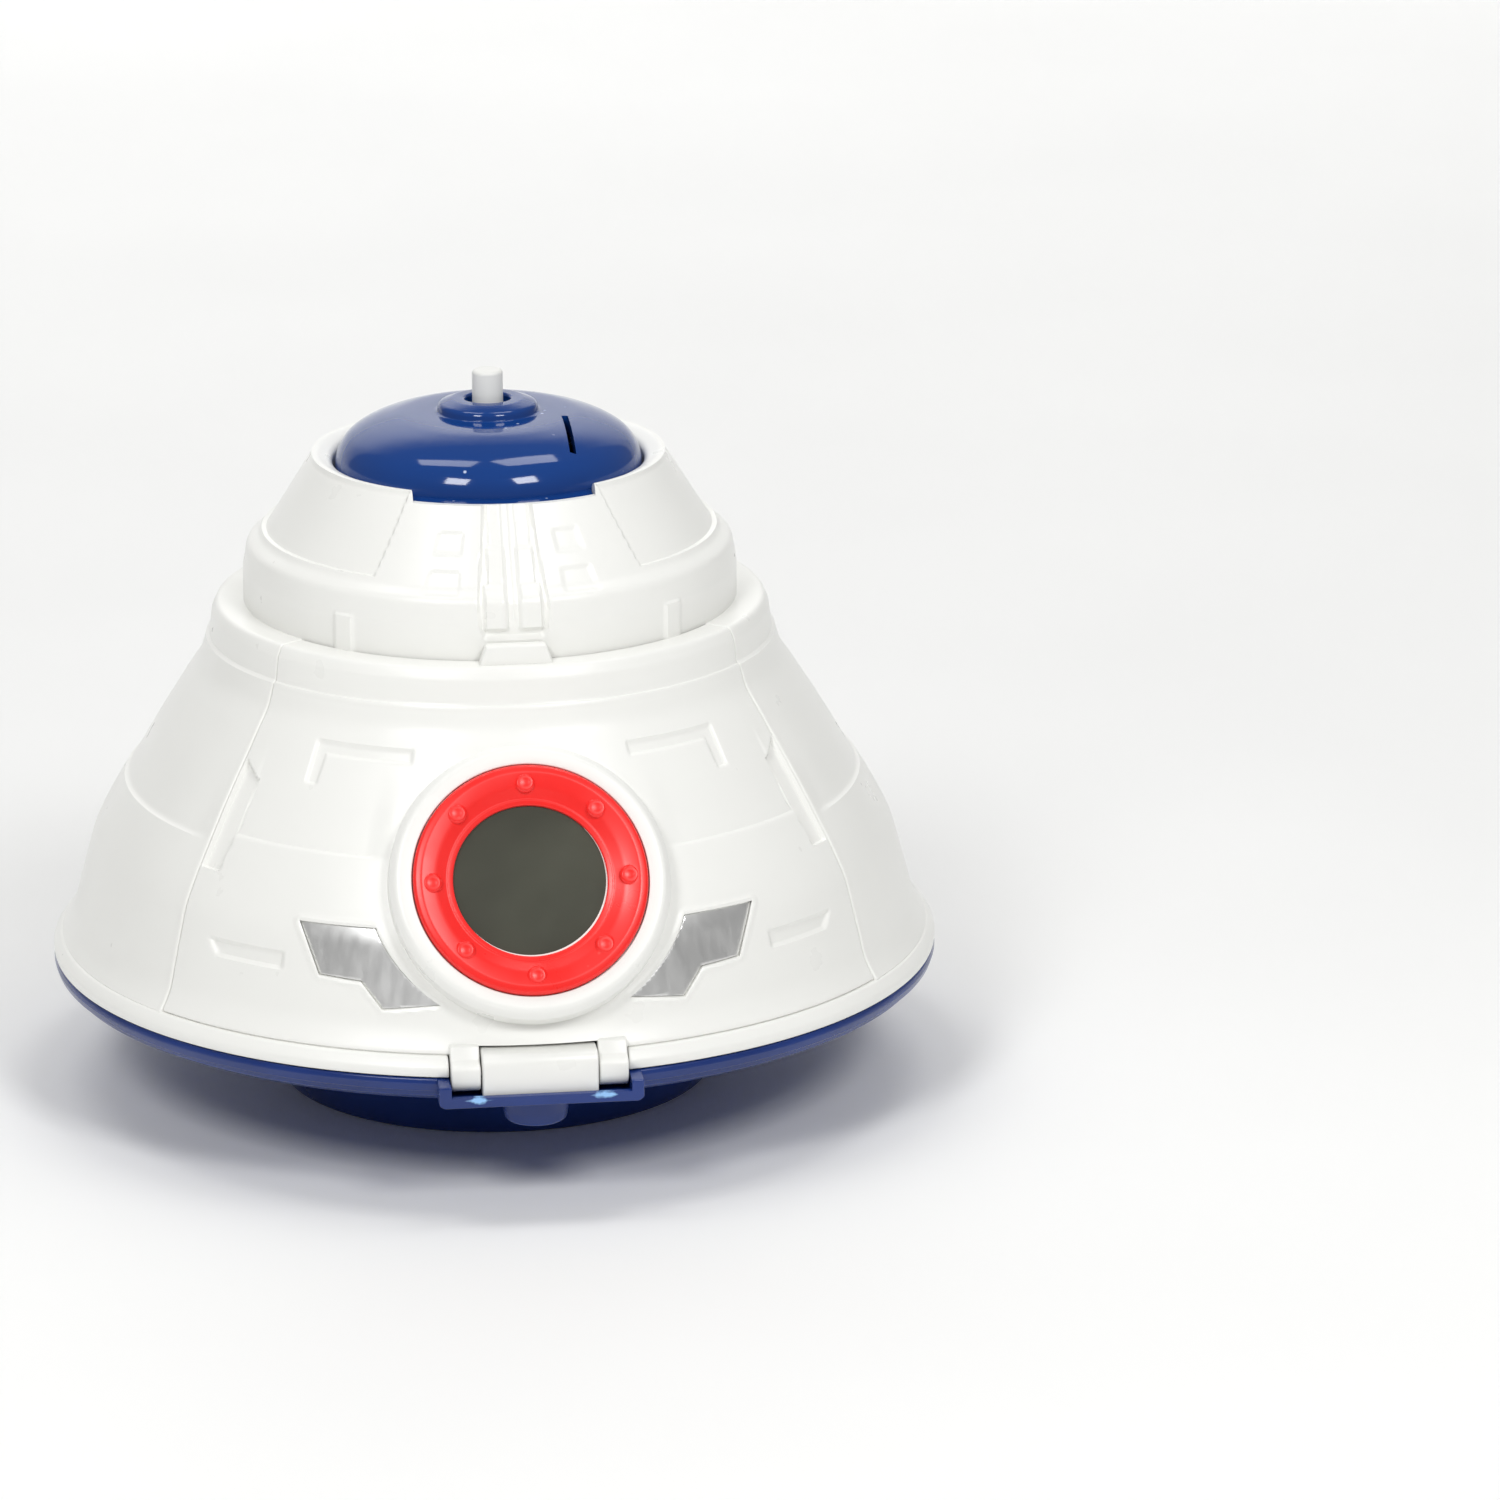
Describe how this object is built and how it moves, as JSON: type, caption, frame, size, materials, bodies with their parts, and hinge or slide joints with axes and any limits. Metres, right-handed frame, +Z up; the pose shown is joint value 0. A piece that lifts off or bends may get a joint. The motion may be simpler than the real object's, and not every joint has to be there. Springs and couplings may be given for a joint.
{
  "type": "toy space capsule",
  "caption": "Free-standing toy space capsule: cone shell on a dish foot, drop-down hatch with round porthole, spring push rod on a domed cap, hollow cabin.",
  "frame": {"origin": "centre of the foot's flat underside, on the capsule's axis", "axes": "+Z up along the capsule's axis and the push rod, -Y to the front (hatch and porthole), +X to the right of someone who looks along +Y at the hatch"},
  "size_m": [0.1804, 0.1836, 0.1468],
  "materials": {
    "white_plastic": "satin gloss white moulding",
    "blue_plastic": "gloss navy blue moulding",
    "red_plastic": "gloss red moulding",
    "silver_foil": "brushed silver foil on a moulded insert",
    "smoke_plastic": "smoke grey window plastic",
    "steel": "zinc plated",
    "cell_steel": "polished cell can",
    "contact_steel": "nickel plated strip",
    "circuit_board": "green solder mask",
    "black_plastic": "black moulding",
    "lamp_plastic": "clear warm lamp body",
    "grey_plastic": "fine texture grey moulding"
  },
  "bodies": {
    "capsule": {"base_dish": "blue_plastic", "main_shell": "white_plastic", "hinge_block": "white_plastic", "hinge_pin": "steel", "hinge_screw": "steel", "top_cap": "blue_plastic", "button_retainer": "blue_plastic", "button_spring": "steel", "nose_bulkhead": "white_plastic", "battery_cover": "white_plastic", "battery_cover_screw": "steel", "battery_contact_plus": "contact_steel", "battery_contact_minus": "contact_steel", "sound_board": "circuit_board", "tact_switch": "black_plastic", "sound_chip": "black_plastic", "speaker": "black_plastic", "led_lamp": "lamp_plastic", "cabin_deck": "grey_plastic", "crew_seat": "grey_plastic", "base_screw_1": "steel", "base_screw_2": "steel", "base_screw_3": "steel", "base_screw_4": "steel", "cap_screw_1": "steel", "cap_screw_2": "steel", "cap_screw_3": "steel", "retainer_screw_1": "steel", "retainer_screw_2": "steel", "bulkhead_screw_1": "steel", "bulkhead_screw_2": "steel", "bulkhead_screw_3": "steel", "bulkhead_screw_4": "steel", "button_cell_1": "cell_steel", "button_cell_2": "cell_steel", "button_cell_3": "cell_steel", "board_screw_1": "steel", "board_screw_2": "steel", "deck_screw_1": "steel", "deck_screw_2": "steel", "deck_screw_3": "steel", "seat_screw_1": "steel", "seat_screw_2": "steel"},
    "hatch": {"hatch": "white_plastic", "porthole_ring": "red_plastic", "porthole_lens": "smoke_plastic", "silver_inlay_left": "silver_foil", "silver_inlay_right": "silver_foil"},
    "button": {"push_button": "white_plastic"}
  },
  "joints": [
    {"name": "hatch_hinge", "type": "hinge", "parent": "capsule", "child": "hatch", "pos_m": [0, -0.0874, 0.0281], "axis": [1, 0, 0], "range_deg": [0, 100]},
    {"name": "button_travel", "type": "slide", "parent": "capsule", "child": "button", "axis": [0, 0, -1], "range_m": [0, 0.003], "stiffness_N_per_m": 250, "springref_m": -0.002, "deforming": ["button_spring"]}
  ]
}
